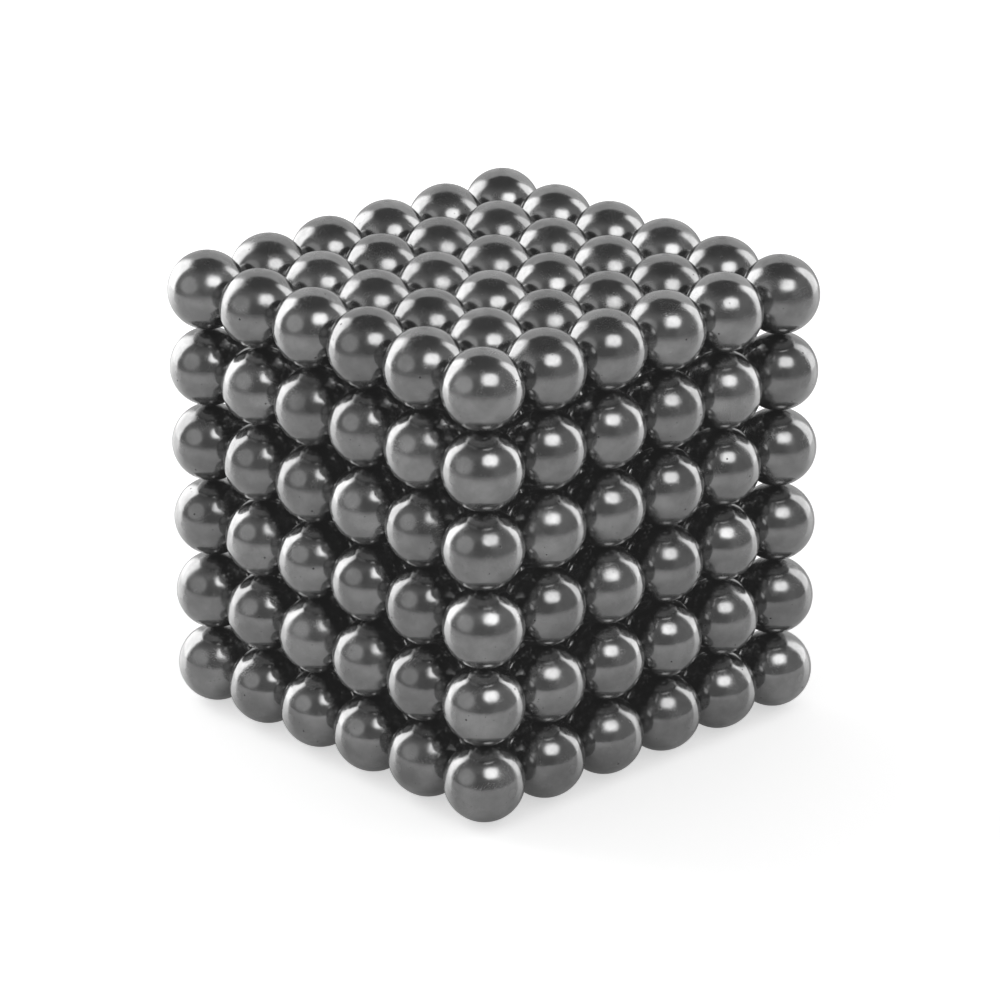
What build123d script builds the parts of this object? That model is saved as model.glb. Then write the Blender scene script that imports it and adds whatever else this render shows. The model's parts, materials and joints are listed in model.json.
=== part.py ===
"""A cube of magnet balls: a free-standing desk toy of 216 loose spheres held by magnetism alone.

Each ball is one sintered magnet with a thin metal plating. Nothing else is in the cube: it has no
frame, core, glue or fastener. Six balls in a line make a row, six rows side by side make a layer,
and six layers make the cube. Rows run along X, row 1 is at the front (-Y) and row 6 at the back,
and layer 1 is at the bottom. The origin is the centre of the square that the cube rests on, at
the height of its lowest points, and +Z is up.

Every ball is a solid of its own. A node holds the balls that travel together:
- in the top layer, each row is a node of six balls, and the rows lift and curl one after another;
- in layers 1 to 5, rows 2 to 5 are nodes of six balls, which slide lengthwise as rods;
- in layers 1 to 5, rows 1 and 6 are nodes of four balls, because the ball at each of their ends
  is a corner ball, which is a node of its own and rolls around its neighbour in the row.
"""

from build123d import *
import os

# Driving dimensions, in millimetres
PITCH = 5.0  # centre to centre, the nominal diameter of a plated ball
BALL_GAP = 0.03  # clearance between neighbours, so that no two solids meet as they move
BALLS_PER_SIDE = 6  # balls in a row, rows in a layer and layers in the cube

# Worked out from the driving dimensions
BALL_RADIUS = (PITCH - BALL_GAP) / 2
HALF_SPAN = (BALLS_PER_SIDE - 1) * PITCH / 2  # from the cube's axis to its outermost ball centres

ALL_BALLS = range(1, BALLS_PER_SIDE + 1)
INNER_BALLS = range(2, BALLS_PER_SIDE)
EDGE_ROWS = {"front": 1, "back": BALLS_PER_SIDE}
ROW_ENDS = {"left": 1, "right": BALLS_PER_SIDE}
TOP_LAYER = BALLS_PER_SIDE


def ball(place, row, layer):
    """The ball at a place along a row, all three counted from 1 at -X, -Y and the bottom."""
    centre = (
        (place - 1) * PITCH - HALF_SPAN,
        (row - 1) * PITCH - HALF_SPAN,
        (layer - 1) * PITCH + BALL_RADIUS,
    )
    return Pos(*centre) * Sphere(BALL_RADIUS)


def row_of_balls(places, row, layer):
    """Balls of one row that travel together, as separate solids."""
    return Compound(children=[ball(place, row, layer) for place in places])


def top_layer_nodes():
    """The top layer's rows, each as its name and its shape."""
    for row in ALL_BALLS:
        yield f"layer_{TOP_LAYER}_row_{row}", row_of_balls(ALL_BALLS, row, TOP_LAYER)


def lower_layer_nodes(layer):
    """A lower layer's rows and corner balls, each as its name and its shape."""
    for row in ALL_BALLS:
        places = INNER_BALLS if row in EDGE_ROWS.values() else ALL_BALLS
        yield f"layer_{layer}_row_{row}", row_of_balls(places, row, layer)
    for side, row in EDGE_ROWS.items():
        for end, place in ROW_ENDS.items():
            yield f"layer_{layer}_corner_{side}_{end}", ball(place, row, layer)


def all_nodes():
    """Every node of the cube, from the bottom layer up."""
    for layer in range(1, TOP_LAYER):
        yield from lower_layer_nodes(layer)
    yield from top_layer_nodes()


def main():
    os.makedirs("parts", exist_ok=True)
    for name, shape in all_nodes():
        export_step(shape, f"parts/{name}.step")


main()
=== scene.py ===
import json
import math

import bpy
import numpy as np
from mathutils import Matrix, Vector


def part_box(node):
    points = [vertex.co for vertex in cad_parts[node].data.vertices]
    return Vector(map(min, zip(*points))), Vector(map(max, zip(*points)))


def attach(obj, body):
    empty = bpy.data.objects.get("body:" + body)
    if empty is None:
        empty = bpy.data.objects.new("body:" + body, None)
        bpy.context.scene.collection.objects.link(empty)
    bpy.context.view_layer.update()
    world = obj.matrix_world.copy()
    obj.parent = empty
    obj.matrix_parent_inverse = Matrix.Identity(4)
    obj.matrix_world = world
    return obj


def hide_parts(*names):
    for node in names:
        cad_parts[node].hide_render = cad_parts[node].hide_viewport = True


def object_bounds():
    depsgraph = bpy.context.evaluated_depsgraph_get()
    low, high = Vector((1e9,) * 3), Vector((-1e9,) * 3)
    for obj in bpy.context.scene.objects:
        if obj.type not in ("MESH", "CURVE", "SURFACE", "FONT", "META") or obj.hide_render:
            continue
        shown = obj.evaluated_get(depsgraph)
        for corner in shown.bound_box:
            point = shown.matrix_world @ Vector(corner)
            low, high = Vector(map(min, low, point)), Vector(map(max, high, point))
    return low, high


# The visual model of a cube of magnet balls: 216 loose balls plated in black nickel, in six
# layers of six rows. Each piece stands for one CAD node and rides on that node's body, and every
# ball's place and size come from the CAD nodes' own boxes. Lengths are in metres, and +Z is up.

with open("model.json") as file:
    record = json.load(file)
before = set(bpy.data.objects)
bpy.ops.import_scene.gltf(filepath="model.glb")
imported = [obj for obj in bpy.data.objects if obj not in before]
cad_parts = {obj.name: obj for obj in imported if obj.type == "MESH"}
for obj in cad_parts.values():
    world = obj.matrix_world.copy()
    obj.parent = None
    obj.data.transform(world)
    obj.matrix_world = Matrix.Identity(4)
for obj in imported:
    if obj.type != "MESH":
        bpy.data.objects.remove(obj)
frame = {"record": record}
cad_low, cad_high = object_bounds()

# ---------------------------------------------------------------- balls

BALLS_PER_SIDE = 6
FACE_CELLS = 20  # cells along each edge of the cube that a ball's mesh is blown up from
WAVES_PER_BALL = 12
WAVE_COUNTS = (2.5, 12.0)  # least and most, in radians per radius
OUT_OF_ROUND = 0.003  # as a share of the radius: tumble-ground balls are never quite true
PLACE_STEP = 9.0  # how far apart neighbouring balls' finishes are sampled, in radii
BALL_SEED = 216

MATERIAL_SLOT = "black_nickel"


def cube_ball(cells):
    """A unit ball as a cube blown up evenly: points and four-sided faces, with no poles."""
    steps = np.tan(np.linspace(-1, 1, cells + 1) * math.pi / 4)
    number = {}
    points = []
    faces = []

    def point(i, j, k):
        key = (i, j, k)
        if key not in number:
            number[key] = len(points)
            place = np.array([steps[i], steps[j], steps[k]])
            points.append(place / np.linalg.norm(place))
        return number[key]

    def add_side(axis, level):
        for a in range(cells):
            for b in range(cells):
                corners = ((a, b), (a + 1, b), (a + 1, b + 1), (a, b + 1))
                if level == 0:
                    corners = corners[::-1]
                grid = [np.roll((level, p, q), axis) for p, q in corners]
                faces.append([point(*place) for place in grid])

    for axis in range(3):
        add_side(axis, 0)
        add_side(axis, cells)
    return np.array(points), np.array(faces)


UNIT_POINTS, UNIT_FACES = cube_ball(FACE_CELLS)


def random_turn(chance):
    """A turn to any attitude, because loose balls settle every way up."""
    w, x, y, z = chance.normal(size=4)
    length = math.sqrt(w * w + x * x + y * y + z * z)
    w, x, y, z = w / length, x / length, y / length, z / length
    return np.array([
        [1 - 2 * (y * y + z * z), 2 * (x * y - w * z), 2 * (x * z + w * y)],
        [2 * (x * y + w * z), 1 - 2 * (x * x + z * z), 2 * (y * z - w * x)],
        [2 * (x * z - w * y), 2 * (y * z + w * x), 1 - 2 * (x * x + y * y)],
    ])


def ground_radius(points, chance):
    """How far each point of a ball stands out, as a share of its radius: shallow lobes and waves."""
    directions = chance.normal(size=(WAVES_PER_BALL, 3))
    directions /= np.linalg.norm(directions, axis=1)[:, None]
    counts = chance.uniform(*WAVE_COUNTS, WAVES_PER_BALL)
    phases = chance.uniform(0, 2 * math.pi, WAVES_PER_BALL)
    waves = np.sin(points @ directions.T * counts + phases)
    return 1 - OUT_OF_ROUND + OUT_OF_ROUND * waves.mean(axis=1)


def ball_centres(node):
    """The centres of a node's balls, which lie in a line along X, and their radius."""
    low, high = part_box(node)
    radius = (high.z - low.z) / 2
    pitch = (cad_high.z - cad_low.z - 2 * radius) / (BALLS_PER_SIDE - 1)
    count = round((high.x - low.x - 2 * radius) / pitch) + 1
    middle = (low + high) / 2
    first = middle.x - (count - 1) * pitch / 2
    return [Vector((first + i * pitch, middle.y, middle.z)) for i in range(count)], radius


def balls_piece(node, material):
    """One node's balls as a piece, with each ball's finish coordinates kept on its points."""
    centres, radius = ball_centres(node)
    points = []
    faces = []
    finish_places = []
    lattice_places = []
    tones = []
    for centre in centres:
        place = [round((centre[i] - cad_low[i]) / radius) for i in range(3)]
        chance = np.random.default_rng([BALL_SEED, *place])
        turn = random_turn(chance)
        reach = ground_radius(UNIT_POINTS, chance)[:, None]
        faces.append(UNIT_FACES + len(points) * len(UNIT_POINTS))
        points.append(UNIT_POINTS * reach * radius + np.array(centre))
        finish_places.append(UNIT_POINTS @ turn.T + np.array(place) * PLACE_STEP)
        lattice_places.append(UNIT_POINTS)
        tones.append(np.full(len(UNIT_POINTS), chance.uniform()))
    mesh = bpy.data.meshes.new(node)
    mesh.from_pydata(np.concatenate(points), [], np.concatenate(faces))
    for name, kind, values in (
        ("finish_place", "FLOAT_VECTOR", np.concatenate(finish_places)),
        ("lattice_place", "FLOAT_VECTOR", np.concatenate(lattice_places)),
        ("ball_tone", "FLOAT", np.concatenate(tones)),
    ):
        key = "vector" if kind == "FLOAT_VECTOR" else "value"
        mesh.attributes.new(name, kind, "POINT").data.foreach_set(key, values.ravel())
    mesh.shade_smooth()
    mesh.materials.append(material)
    piece = bpy.data.objects.new(f"balls_{node}", mesh)
    bpy.context.scene.collection.objects.link(piece)
    return piece


# ---------------------------------------------------------------- node helpers


def add_node(tree, kind, inputs=None, **settings):
    """A shader node with its settings, and with each input linked or set to a value."""
    node = tree.nodes.new(kind)
    for name, value in settings.items():
        setattr(node, name, value)
    for name, value in (inputs or {}).items():
        if isinstance(value, bpy.types.NodeSocket):
            tree.links.new(value, node.inputs[name])
        else:
            node.inputs[name].default_value = value
    return node


def maths(tree, operation, *values):
    """One step of arithmetic on sockets and numbers."""
    return add_node(tree, "ShaderNodeMath", dict(enumerate(values)), operation=operation).outputs[0]


def smooth_step(tree, value, start, end, low=0.0, high=1.0):
    """Goes smoothly from low to high as the value goes from start to end, and is level outside."""
    inputs = {"Value": value, "From Min": start, "From Max": end, "To Min": low, "To Max": high}
    node = add_node(tree, "ShaderNodeMapRange", inputs, interpolation_type="SMOOTHSTEP")
    return node.outputs["Result"]


def along(tree, vector, axis):
    """How far a vector reaches along an axis of length 1."""
    inputs = {0: vector, 1: axis}
    return add_node(tree, "ShaderNodeVectorMath", inputs, operation="DOT_PRODUCT").outputs["Value"]


def noise(tree, place, scale, detail=2.0, roughness=0.5):
    """Cloudy noise round a middle value of 0.5."""
    inputs = {"Vector": place, "Scale": scale, "Detail": detail, "Roughness": roughness}
    return add_node(tree, "ShaderNodeTexNoise", inputs).outputs["Fac"]


def grey(value):
    """A colour without hue, as a shader takes it."""
    return (value, value, value, 1.0)


# ---------------------------------------------------------------- black nickel

# Finish patterns are sized in ball radii: a scale is how many of a pattern's cells fit in a radius.
# The edges of a mark are the pattern's values where it is gone and where it is full.

PLATING_TONE = 0.30  # how much of the light the polished plating gives back, face on
TONE_SPREAD = 0.10  # from one ball to the next, as a share of the tone
CLOUD_SPREAD = 0.16  # across one ball
CLOUD_SCALE = 1.3
CLOUD_EDGES = (0.3, 0.7)
PIT_TONE = 0.35  # as a share of the tone around the pit
SCRATCH_TONE = 1.25  # as a share of the tone around the scratch

POLISH_ROUGHNESS = 0.15
SMUDGE_ROUGHNESS = 0.11  # this and the next three are added to the polish
SCRATCH_ROUGHNESS = 0.16
RUB_ROUGHNESS = 0.22
PIT_ROUGHNESS = 0.3
SMUDGE_SCALE = 0.9
SMUDGE_EDGES = (0.46, 0.70)

PEEL_HEIGHT = 6.0e-6
PEEL_SCALE = 5.5
RIPPLE_HEIGHT = 1.0e-6
RIPPLE_SCALE = 15.0

SCRATCH_DEPTH = 0.8e-6
SCRATCH_DRAW = (46, 46, 1.3)  # the scale across the scratches, both ways, and along them
SCRATCH_EDGES = (0.016, 0.004)  # how far the noise is from its middle value
SCRATCH_PATCH_SCALE = 1.7
SCRATCH_PATCH_EDGES = (0.52, 0.66)
# Two families of scratches, each as its direction's turn and its pattern's shift
SCRATCH_FAMILIES = (((0.3, 0.9, 0.1), 0.0), ((1.4, -0.4, 0.8), 0.6))

PIT_DEPTH = 4e-6
PIT_EDGES = (0.17, 0.07)  # how far from the pit's middle, in cells
PIT_SIZES = ((4.5, 0.09), (11.0, 0.07))  # large and small: the scale, and the share of cells pitted

RUB_EDGES = (0.994, 1.004)  # how far out towards the neighbour, in radii, raggedness included
RUB_RAGGEDNESS = 0.012
RUB_RAGGED_SCALE = 9.0


def scratches(tree, place, turn, shift):
    """Hairlines in one direction, in patches: 1 on a scratch and 0 off it."""
    drawn_out = add_node(tree, "ShaderNodeMapping", {
        "Vector": place,
        "Rotation": turn,
        "Location": (shift, 0, 0),
        "Scale": SCRATCH_DRAW,
    })
    ridges = noise(tree, drawn_out.outputs["Vector"], 1.0, detail=1.0)
    line = maths(tree, "ABSOLUTE", maths(tree, "SUBTRACT", ridges, 0.5))
    hairline = smooth_step(tree, line, *SCRATCH_EDGES)
    patches = noise(tree, place, SCRATCH_PATCH_SCALE + shift, detail=1.0)
    patch = smooth_step(tree, patches, *SCRATCH_PATCH_EDGES)
    return maths(tree, "MULTIPLY", hairline, patch)


def pits(tree, place, scale, share):
    """Pinholes in the plating: 1 in a pit and 0 outside it, in the given share of cells."""
    cells = add_node(tree, "ShaderNodeTexVoronoi", {"Vector": place, "Scale": scale})
    inside = smooth_step(tree, cells.outputs["Distance"], *PIT_EDGES)
    cell_chance = add_node(tree, "ShaderNodeSeparateColor", {"Color": cells.outputs["Color"]})
    chosen = maths(tree, "LESS_THAN", cell_chance.outputs[0], share)
    return maths(tree, "MULTIPLY", inside, chosen)


def rub_marks(tree, lattice_place, finish_place):
    """Small dull spots where a ball touches its neighbours: 1 in a spot's middle and 0 off it."""
    size = add_node(tree, "ShaderNodeVectorMath", {0: lattice_place}, operation="ABSOLUTE")
    parts = add_node(tree, "ShaderNodeSeparateXYZ", {0: size.outputs[0]}).outputs
    nearest = maths(tree, "MAXIMUM", maths(tree, "MAXIMUM", parts[0], parts[1]), parts[2])
    ragged = maths(tree, "MULTIPLY", noise(tree, finish_place, RUB_RAGGED_SCALE), RUB_RAGGEDNESS)
    height = maths(tree, "ADD", nearest, ragged)
    return smooth_step(tree, height, *RUB_EDGES)


def black_nickel():
    """The one finish of every ball: polished black nickel, a little worn."""
    material = bpy.data.materials.new(MATERIAL_SLOT)
    material.use_nodes = True
    tree = material.node_tree
    tree.nodes.clear()
    place = add_node(tree, "ShaderNodeAttribute", attribute_name="finish_place").outputs["Vector"]
    lattice = add_node(tree, "ShaderNodeAttribute", attribute_name="lattice_place").outputs["Vector"]
    tone = add_node(tree, "ShaderNodeAttribute", attribute_name="ball_tone").outputs["Fac"]

    hairs = maths(tree, "MAXIMUM", *[scratches(tree, place, *family) for family in SCRATCH_FAMILIES])
    holes = maths(tree, "MAXIMUM", *[pits(tree, place, *size) for size in PIT_SIZES])
    rubs = rub_marks(tree, lattice, place)
    clouds = noise(tree, place, CLOUD_SCALE, detail=4.0, roughness=0.6)
    smears = noise(tree, place, SMUDGE_SCALE, detail=5.0, roughness=0.65)
    smudges = smooth_step(tree, smears, *SMUDGE_EDGES)

    # Colour: a little lighter or darker from ball to ball and across each, dark in the pits
    ball_step = smooth_step(tree, tone, 0.0, 1.0, 1 - TONE_SPREAD, 1 + TONE_SPREAD)
    cloud_step = smooth_step(tree, clouds, *CLOUD_EDGES, 1 - CLOUD_SPREAD, 1 + CLOUD_SPREAD)
    shade = maths(tree, "MULTIPLY", maths(tree, "MULTIPLY", ball_step, cloud_step), PLATING_TONE)
    shade = maths(tree, "MULTIPLY", shade, smooth_step(tree, holes, 0.0, 1.0, 1.0, PIT_TONE))
    shade = maths(tree, "MULTIPLY", shade, smooth_step(tree, hairs, 0.0, 1.0, 1.0, SCRATCH_TONE))
    colour = add_node(tree, "ShaderNodeCombineColor", {0: shade, 1: shade, 2: shade}).outputs[0]

    # Roughness: a high polish, hazed by handling and dulled by scratches, pits and rubbing
    haze = maths(tree, "MULTIPLY_ADD", smudges, SMUDGE_ROUGHNESS, POLISH_ROUGHNESS)
    worn = maths(tree, "MULTIPLY_ADD", hairs, SCRATCH_ROUGHNESS, haze)
    worn = maths(tree, "MULTIPLY_ADD", rubs, RUB_ROUGHNESS, worn)
    roughness = maths(tree, "MULTIPLY_ADD", holes, PIT_ROUGHNESS, worn)

    # Relief: the peel and ripple of a plated surface, with scratches and pits cut into it
    peel = maths(tree, "MULTIPLY", noise(tree, place, PEEL_SCALE, detail=1.0), PEEL_HEIGHT)
    ripple = maths(tree, "MULTIPLY_ADD", noise(tree, place, RIPPLE_SCALE), RIPPLE_HEIGHT, peel)
    cut = maths(tree, "MULTIPLY_ADD", hairs, -SCRATCH_DEPTH, ripple)
    height = maths(tree, "MULTIPLY_ADD", holes, -PIT_DEPTH, cut)
    relief = add_node(tree, "ShaderNodeBump", {"Height": height, "Distance": 1.0, "Strength": 1.0})

    surface = add_node(tree, "ShaderNodeBsdfPrincipled", {
        "Base Color": colour,
        "Metallic": 1.0,
        "Roughness": roughness,
        "Normal": relief.outputs["Normal"],
    })
    add_node(tree, "ShaderNodeOutputMaterial", {"Surface": surface.outputs["BSDF"]})
    return material


# ---------------------------------------------------------------- studio

# Places on a ball's disc are in radii, right of its centre and above it. A card or panel fades out
# round its edge, over a share of its half width. Its squareness is 2 for an ellipse and more for a
# box. The edges of a change in the surroundings are the reaches along its axis where it starts and
# where it is full.

VIEW_AZIMUTH = math.radians(46.95)
VIEW_ELEVATION = math.radians(21.28)
VIEW_ROLL = math.radians(-0.17)
CAMERA_DISTANCE = 0.276
CAMERA_LENS = 158.4  # in millimetres, as a lens and a sensor usually are
CAMERA_SENSOR = 36
CAMERA_NEAREST = 0.01
CAMERA_AIM = (0.00039, -0.0012)  # right of the cube's centre and above it

FLOOR_SIDE = 8.0
FLOOR_TONE = 0.8
FLOOR_SHADED_TONE_TO_BALLS = (0.72, 0.36)  # painted shade: the table's colour as the balls see it, near the cube and far from it, darker far out where its light falls off
FLOOR_NEAR_AND_FAR = (0.04, 0.30)
FLOOR_GLOW = 0.1  # a lit white table gives some light of its own, which keeps shadows faint
FLOOR_WHITENING = 0.46  # added for the camera alone, so that the table looks white behind dark balls
FLOOR_PAINTED_REFLECTION = 0.42  # painted reflection: how much of a side panel the matt table glows with towards the balls
FLOOR_PAINTED_REFLECTION_EDGES = (-0.78, -0.10)  # for rays down to the table, steep to shallow
TENT_LIGHT = 0.55  # the even light that falls on the floor

WALL_LIGHT = 0.27
ROOF_LIGHT = 0.088
ROOF_SHOWN_AT = (0.0, 0.66)  # the place on a ball's disc that shows the roof's darkest part
ROOF_EDGES = (0.55, 0.95)
BACKDROP_LIGHT = 0.5
BACKDROP_EDGES = (-0.75, -0.97)
CAMERA_SHADE = 0.11  # how much darker the balls see the wall where the camera stands
CAMERA_SHADE_EDGES = (0.75, 0.96)

# Side panels, each from its side edge to its back edge, in degrees to the right of straight behind
LEFT_PANEL = (-82, -20)
RIGHT_PANEL = (78, 38)
LEFT_LIGHT = 3.0
RIGHT_LIGHT = 2.3
RIGHT_PAINTED_REFLECTION = 0.75  # the painted reflection on the table shows less of the right panel than of the left
PANEL_DISTANCE = 0.25
PANEL_RISE = 58  # degrees above level, and as much below it, where the table hides the panel
PANEL_EDGE = 0.32
PANEL_TAPER = 0.42  # how much of its width a panel loses, off its back edge, by its top and bottom
PANEL_SQUARENESS = 6.0

CARD_DISTANCE = 0.5
CARD_CELLS = 24

# A soft key light, above the camera's right shoulder
KEY_ACROSS = (-0.05, 0.40)
KEY_UP = (0.03, 0.365)
KEY_LIGHT = 2.8
KEY_EDGE = 0.5
KEY_SQUARENESS = 2.8

# A pale strip, high behind the cube
BACK_ANGLES = (165, 15)  # degrees anticlockwise from the right side of a ball's disc
BACK_RADII = (0.755, 0.98)
BACK_LIGHT = 0.72
BACK_EDGE = 0.15
BACK_SQUARENESS = 4.0

# A pale round card, at the camera's left
FRONT_ACROSS = (-0.67, -0.18)
FRONT_UP = (-0.14, 0.34)
FRONT_LIGHT = 0.6
FRONT_EDGE = 0.35
FRONT_SQUARENESS = 2.0

BLACK_LIFT = 0.012


def view_axes():
    """Right, up and back of a level camera at the view's angle."""
    level = math.cos(VIEW_ELEVATION)
    back = Vector((
        math.sin(VIEW_AZIMUTH) * level,
        -math.cos(VIEW_AZIMUTH) * level,
        math.sin(VIEW_ELEVATION),
    ))
    right = Vector((math.cos(VIEW_AZIMUTH), math.sin(VIEW_AZIMUTH), 0))
    return right, back.cross(right), back


def level_behind():
    """The level direction straight behind the cube, away from the camera."""
    return Vector((-math.sin(VIEW_AZIMUTH), math.cos(VIEW_AZIMUTH), 0))


def shown_at(across, up):
    """The direction that a ball mirrors towards the camera at a place on its disc."""
    facing = math.sqrt(max(0.0, 1 - across * across - up * up))
    right, upright, back = view_axes()
    sideways = right * (2 * facing * across) + upright * (2 * facing * up)
    return sideways + back * (2 * facing * facing - 1)


def between(span, share):
    """The value at a share of the way along a span."""
    return span[0] + (span[1] - span[0]) * share


def shown_in_square(across, up):
    """Directions that a ball shows over a rectangle of its disc, from its two spans."""
    return lambda u, v: shown_at(between(across, u), between(up, v))


def shown_along_rim(angles, radii):
    """Directions that a ball shows along an arc of its disc, from spans of degrees and of radii."""
    def direction(u, v):
        angle = math.radians(between(angles, u))
        radius = between(radii, v)
        return shown_at(radius * math.cos(angle), radius * math.sin(angle))
    return direction


def upright_panel(azimuths):
    """Directions over an upright panel that narrows towards its top and its bottom."""
    def direction(u, v):
        height = 2 * v - 1
        width = 1 - PANEL_TAPER * abs(height)
        azimuth = math.radians(between(azimuths, u * width))
        rise = math.radians(PANEL_RISE * height)
        level = view_axes()[0] * math.sin(azimuth) + level_behind() * math.cos(azimuth)
        return level * math.cos(rise) + Vector((0, 0, math.sin(rise)))
    return direction


def soft_card_light(name, light, edge, squareness):
    """A card's light, full in its middle and clear outside its edge."""
    material = bpy.data.materials.new(name)
    material.use_nodes = True
    tree = material.node_tree
    tree.nodes.clear()
    place = add_node(tree, "ShaderNodeTexCoord").outputs["UV"]
    parts = add_node(tree, "ShaderNodeSeparateXYZ", {0: place}).outputs
    corners = []
    for part in parts[:2]:
        from_middle = maths(tree, "ABSOLUTE", maths(tree, "MULTIPLY_ADD", part, 2.0, -1.0))
        corners.append(maths(tree, "POWER", from_middle, squareness))
    outward = maths(tree, "POWER", maths(tree, "ADD", *corners), 1 / squareness)
    shown = smooth_step(tree, outward, 1.0, 1.0 - edge)
    clear = add_node(tree, "ShaderNodeBsdfTransparent").outputs[0]
    glow = add_node(tree, "ShaderNodeEmission", {"Color": grey(1.0), "Strength": light}).outputs[0]
    mixed = add_node(tree, "ShaderNodeMixShader", {0: shown, 1: clear, 2: glow}).outputs[0]
    add_node(tree, "ShaderNodeOutputMaterial", {"Surface": mixed})
    return material


def add_card(name, direction, distance, light, edge, squareness, lights_floor=False):
    """A curved card of light, placed by its directions from the cube and unseen by the camera."""
    centre = (cad_low + cad_high) / 2
    points = []
    places = []
    for row in range(CARD_CELLS + 1):
        for column in range(CARD_CELLS + 1):
            u, v = column / CARD_CELLS, row / CARD_CELLS
            points.append(centre + direction(u, v) * distance)
            places.append((u, v))
    faces = []
    for row in range(CARD_CELLS):
        for column in range(CARD_CELLS):
            first = row * (CARD_CELLS + 1) + column
            faces.append((first, first + 1, first + CARD_CELLS + 2, first + CARD_CELLS + 1))
    mesh = bpy.data.meshes.new(name)
    mesh.from_pydata(points, [], faces)
    card_uv = mesh.uv_layers.new(name="card")
    for loop in mesh.loops:
        card_uv.data[loop.index].uv = places[loop.vertex_index]
    mesh.materials.append(soft_card_light(name, light, edge, squareness))
    card = bpy.data.objects.new(name, mesh)
    card.visible_camera = False
    card.visible_diffuse = lights_floor
    card.visible_shadow = False
    bpy.context.scene.collection.objects.link(card)


def add_cards():
    """The side panels, which light the floor as well, and the cards that only the balls mirror."""
    for name, azimuths, light in (
        ("left_panel", LEFT_PANEL, LEFT_LIGHT),
        ("right_panel", RIGHT_PANEL, RIGHT_LIGHT),
    ):
        panel = upright_panel(azimuths)
        add_card(name, panel, PANEL_DISTANCE, light, PANEL_EDGE, PANEL_SQUARENESS, lights_floor=True)
    key = shown_in_square(KEY_ACROSS, KEY_UP)
    add_card("key_card", key, CARD_DISTANCE, KEY_LIGHT, KEY_EDGE, KEY_SQUARENESS)
    back = shown_along_rim(BACK_ANGLES, BACK_RADII)
    add_card("back_card", back, CARD_DISTANCE, BACK_LIGHT, BACK_EDGE, BACK_SQUARENESS)
    front = shown_in_square(FRONT_ACROSS, FRONT_UP)
    add_card("front_card", front, CARD_DISTANCE, FRONT_LIGHT, FRONT_EDGE, FRONT_SQUARENESS)


def painted_panel_reflection(tree, direction, azimuths, light):
    """A painted reflection of a side panel, glowing on the matt table towards a ball, by its ray's
    direction.
    """
    sideways = along(tree, direction, view_axes()[0])
    azimuth = maths(tree, "ARCTAN2", sideways, along(tree, direction, level_behind()))
    side, rear = (math.radians(angle) for angle in azimuths)
    from_middle = maths(tree, "ABSOLUTE", maths(tree, "SUBTRACT", azimuth, (side + rear) / 2))
    half_width = abs(side - rear) / 2
    shown = smooth_step(tree, from_middle, half_width, half_width * (1 - PANEL_EDGE), 0.0, light)
    rise = add_node(tree, "ShaderNodeSeparateXYZ", {0: direction}).outputs["Z"]
    shallow = smooth_step(tree, rise, *FLOOR_PAINTED_REFLECTION_EDGES, 0.0, FLOOR_PAINTED_REFLECTION)
    return maths(tree, "MULTIPLY", shown, shallow)


def add_floor():
    """A pale matt table, which glows with a painted reflection of the side panels towards the balls.
    """
    half = FLOOR_SIDE / 2
    mesh = bpy.data.meshes.new("floor")
    corners = [(-half, -half, 0), (half, -half, 0), (half, half, 0), (-half, half, 0)]
    mesh.from_pydata(corners, [], [(0, 1, 2, 3)])
    material = bpy.data.materials.new("floor")
    material.use_nodes = True
    tree = material.node_tree
    paths = add_node(tree, "ShaderNodeLightPath").outputs
    seen = paths["Is Camera Ray"]
    place = add_node(tree, "ShaderNodeTexCoord").outputs["Object"]
    distance = add_node(tree, "ShaderNodeVectorMath", {0: place}, operation="LENGTH").outputs["Value"]
    # Painted shade: the balls see the table darker than the camera does, and darker still far from
    # the cube, where its light falls off
    painted_falloff_tone = smooth_step(tree, distance, *FLOOR_NEAR_AND_FAR, *FLOOR_SHADED_TONE_TO_BALLS)
    tone = maths(tree, "MULTIPLY_ADD", seen, maths(tree, "SUBTRACT", FLOOR_TONE, painted_falloff_tone), painted_falloff_tone)

    incoming = add_node(tree, "ShaderNodeNewGeometry").outputs["Incoming"]
    ray = add_node(tree, "ShaderNodeVectorMath", {0: incoming, "Scale": -1.0}, operation="SCALE")
    # Painted reflection: the side panels glow on the matt table for glossy rays alone, as if it
    # mirrored them
    painted_reflections = maths(
        tree, "ADD",
        painted_panel_reflection(tree, ray.outputs["Vector"], LEFT_PANEL, LEFT_LIGHT),
        painted_panel_reflection(tree, ray.outputs["Vector"], RIGHT_PANEL, RIGHT_LIGHT * RIGHT_PAINTED_REFLECTION),
    )
    glow = maths(tree, "MULTIPLY_ADD", paths["Is Glossy Ray"], painted_reflections, FLOOR_GLOW)
    glow = maths(tree, "MULTIPLY_ADD", seen, FLOOR_WHITENING, glow)
    surface = tree.nodes["Principled BSDF"].inputs
    tree.links.new(tone, surface["Base Color"])
    surface["Roughness"].default_value = 1.0
    surface["Specular IOR Level"].default_value = 0.0
    surface["Emission Color"].default_value = grey(1.0)
    tree.links.new(glow, surface["Emission Strength"])
    mesh.materials.append(material)
    floor = bpy.data.objects.new("floor", mesh)
    floor.location.z = cad_low.z
    bpy.context.scene.collection.objects.link(floor)


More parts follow.
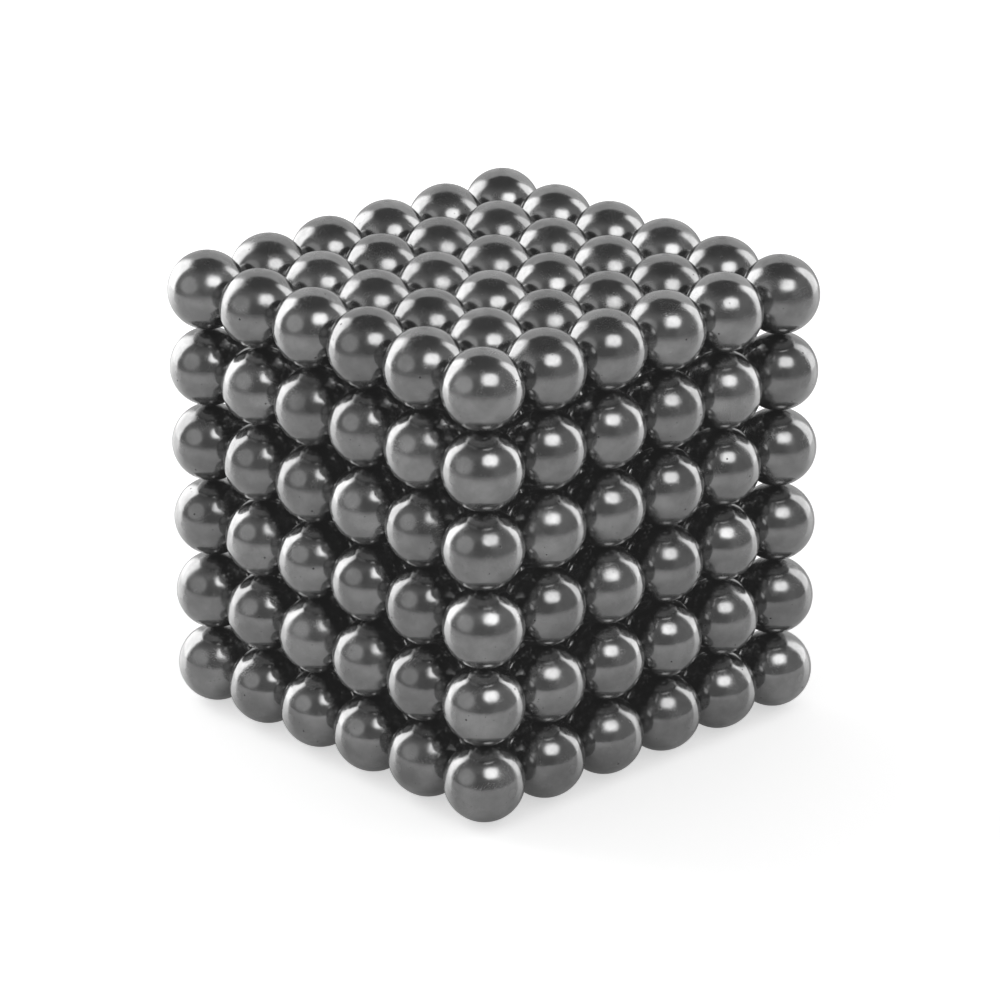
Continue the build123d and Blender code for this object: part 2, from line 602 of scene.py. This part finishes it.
def add_surroundings():
    """A white room to the camera, an even light to the floor, and dim walls and roof to the balls."""
    world = bpy.data.worlds.new("studio")
    bpy.context.scene.world = world
    world.use_nodes = True
    world.cycles.sampling_method = "NONE"
    tree = world.node_tree
    tree.nodes.clear()
    place = add_node(tree, "ShaderNodeTexCoord").outputs["Generated"]
    roofward = along(tree, place, shown_at(*ROOF_SHOWN_AT))
    walls = smooth_step(tree, roofward, *ROOF_EDGES, WALL_LIGHT, ROOF_LIGHT)
    facing = along(tree, place, view_axes()[2])
    backdrop = smooth_step(tree, facing, *BACKDROP_EDGES, 0.0, BACKDROP_LIGHT)
    camera_shade = smooth_step(tree, facing, *CAMERA_SHADE_EDGES, 0.0, -CAMERA_SHADE)
    seen_by_balls = maths(tree, "ADD", walls, maths(tree, "ADD", backdrop, camera_shade))
    paths = add_node(tree, "ShaderNodeLightPath").outputs
    beyond_tent = maths(tree, "SUBTRACT", seen_by_balls, TENT_LIGHT)
    reflected = maths(tree, "MULTIPLY", paths["Is Glossy Ray"], beyond_tent)
    to_camera = maths(tree, "MULTIPLY", paths["Is Camera Ray"], 1 - TENT_LIGHT)
    strength = maths(tree, "ADD", maths(tree, "ADD", reflected, to_camera), TENT_LIGHT)
    glow = add_node(tree, "ShaderNodeBackground", {"Color": grey(1.0), "Strength": strength})
    add_node(tree, "ShaderNodeOutputWorld", {"Surface": glow.outputs[0]})


def add_camera():
    """The camera, aimed a little off the cube's centre."""
    level, upright, back = view_axes()
    right = level * math.cos(VIEW_ROLL) + upright * math.sin(VIEW_ROLL)
    up = back.cross(right)
    centre = (cad_low + cad_high) / 2
    camera = bpy.data.objects.new("camera", bpy.data.cameras.new("camera"))
    axes = Matrix((right, up, back)).transposed().to_4x4()
    place = centre + back * CAMERA_DISTANCE + level * CAMERA_AIM[0] + upright * CAMERA_AIM[1]
    camera.matrix_world = Matrix.Translation(place) @ axes
    camera.data.lens = CAMERA_LENS
    camera.data.sensor_width = CAMERA_SENSOR
    camera.data.clip_start = CAMERA_NEAREST
    bpy.context.scene.collection.objects.link(camera)
    bpy.context.scene.camera = camera


def set_tones():
    """Plain tones, with blacks lifted a little as a lens does against a white background."""
    view = bpy.context.scene.view_settings
    view.view_transform = "Standard"
    view.use_curve_mapping = True
    view.curve_mapping.black_level = (-BLACK_LIFT, -BLACK_LIFT, -BLACK_LIFT)
    view.curve_mapping.update()


def add_balls():
    """One piece of balls for each CAD node, riding on the node's body."""
    material = black_nickel()
    for body, nodes in frame["record"]["behaviour"]["bodies"].items():
        for node in nodes:
            piece = balls_piece(node, material)
            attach(piece, body)
            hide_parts(node)


add_balls()
add_floor()
add_surroundings()
add_cards()
add_camera()
set_tones()
